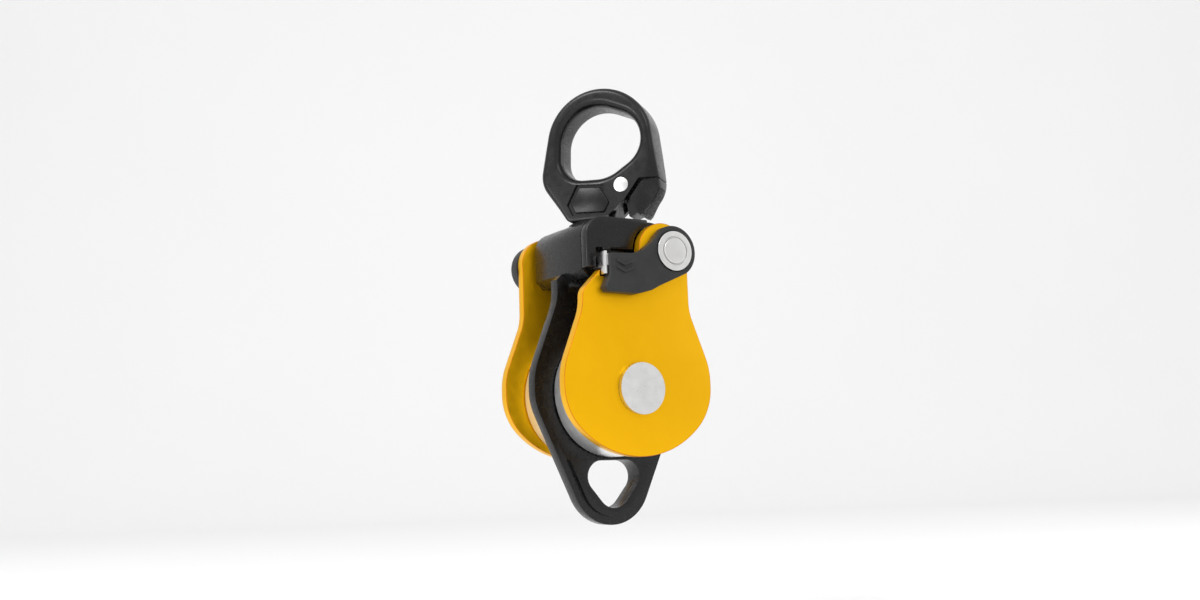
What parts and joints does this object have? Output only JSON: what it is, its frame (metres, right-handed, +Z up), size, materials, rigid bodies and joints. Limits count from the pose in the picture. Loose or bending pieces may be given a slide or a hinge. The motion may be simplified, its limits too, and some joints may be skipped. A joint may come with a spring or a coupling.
{
  "type": "swivel rope pulley",
  "caption": "Double rope pulley with opening side plates locked by press-down levers, a gated swivel eye on top and a lower attachment eye",
  "frame": {"origin": "On the swivel's axis, level with the middle of the swivel eye's hole, where a load hangs from it", "axes": "+Z up along the swivel's axis, Y along the sheaves' axle with -Y the front side, +X to the right seen from the front"},
  "size_m": [0.067, 0.0634, 0.1768],
  "materials": {
    "black_anodised": "satin",
    "yellow_anodised": "satin",
    "bright_aluminium": "satin",
    "steel": "satin",
    "bright_steel": "satin",
    "lever_plastic": "matte",
    "seal_rubber": "matte"
  },
  "bodies": {
    "swivel": {"swivel_body": "black_anodised", "gate_rivet": "bright_steel", "swivel_stud": "steel", "stud_pin": "steel", "lower_thrust_race": "steel"},
    "gate": {"swivel_gate": "black_anodised", "gate_screw": "steel"},
    "thrust_ball_set": {"thrust_balls": "steel", "thrust_cage": "steel"},
    "frame": {"main_frame": "black_anodised", "front_keeper": "black_anodised", "rear_keeper": "black_anodised", "keeper_pins": "steel", "axle": "bright_steel", "axle_cap": "bright_steel", "upper_thrust_race": "steel", "bearing_collar": "black_anodised", "stud_seal": "seal_rubber", "front_inner_race": "steel", "rear_inner_race": "steel", "front_spacers": "steel", "rear_spacers": "steel"},
    "front_plate": {"front_side_plate": "yellow_anodised", "front_lever_rivet": "bright_steel", "front_lever_spring": "steel"},
    "rear_plate": {"rear_side_plate": "yellow_anodised", "rear_lever_rivet": "bright_steel", "rear_lever_spring": "steel"},
    "front_latch": {"front_lever": "lever_plastic", "front_catch": "bright_steel"},
    "rear_latch": {"rear_lever": "lever_plastic", "rear_catch": "bright_steel"},
    "front_wheel": {"front_sheave": "bright_aluminium", "front_outer_race": "steel", "front_shields": "seal_rubber"},
    "rear_wheel": {"rear_sheave": "bright_aluminium", "rear_outer_race": "steel", "rear_shields": "seal_rubber"},
    "front_ball_set": {"front_balls": "steel", "front_cage": "steel"},
    "rear_ball_set": {"rear_balls": "steel", "rear_cage": "steel"}
  },
  "joints": [
    {"name": "swivel_spin", "type": "hinge", "parent": "swivel", "child": "frame", "pos_m": [0, 0, -0.0423], "axis": [0, 0, 1], "continuous": true},
    {"name": "thrust_ball_spin", "type": "hinge", "parent": "swivel", "child": "thrust_ball_set", "pos_m": [0, 0, -0.0423], "axis": [0, 0, 1], "continuous": true},
    {"name": "gate_swing", "type": "hinge", "parent": "swivel", "child": "gate", "pos_m": [0.00791, -0.00942, -0.0191], "axis": [0.766, 0.6428, 0], "range_deg": [0, 25]},
    {"name": "front_plate_swing", "type": "hinge", "parent": "frame", "child": "front_plate", "pos_m": [0, -0.024, -0.1023], "axis": [0, 1, 0], "range_deg": [0, 110]},
    {"name": "rear_plate_swing", "type": "hinge", "parent": "frame", "child": "rear_plate", "pos_m": [0, 0.024, -0.1023], "axis": [0, -1, 0], "range_deg": [0, 110]},
    {"name": "front_lever_press", "type": "hinge", "parent": "front_plate", "child": "front_latch", "pos_m": [0.0152, -0.0286, -0.0484], "axis": [0, -1, 0], "range_deg": [0, 6], "stiffness_Nm_per_rad": 0.3},
    {"name": "rear_lever_press", "type": "hinge", "parent": "rear_plate", "child": "rear_latch", "pos_m": [-0.0152, 0.0286, -0.0484], "axis": [0, 1, 0], "range_deg": [0, 6], "stiffness_Nm_per_rad": 0.3},
    {"name": "front_sheave_spin", "type": "hinge", "parent": "frame", "child": "front_wheel", "pos_m": [0, -0.01225, -0.1023], "axis": [0, 1, 0], "continuous": true},
    {"name": "rear_sheave_spin", "type": "hinge", "parent": "frame", "child": "rear_wheel", "pos_m": [0, 0.01225, -0.1023], "axis": [0, 1, 0], "continuous": true},
    {"name": "front_ball_spin", "type": "hinge", "parent": "frame", "child": "front_ball_set", "pos_m": [0, -0.01225, -0.1023], "axis": [0, 1, 0], "continuous": true},
    {"name": "rear_ball_spin", "type": "hinge", "parent": "frame", "child": "rear_ball_set", "pos_m": [0, 0.01225, -0.1023], "axis": [0, 1, 0], "continuous": true}
  ],
  "couplings": [
    {"joint": "thrust_ball_spin", "follows": "swivel_spin", "ratio": 0.5},
    {"joint": "front_ball_spin", "follows": "front_sheave_spin", "ratio": 0.615},
    {"joint": "rear_ball_spin", "follows": "rear_sheave_spin", "ratio": 0.615}
  ]
}
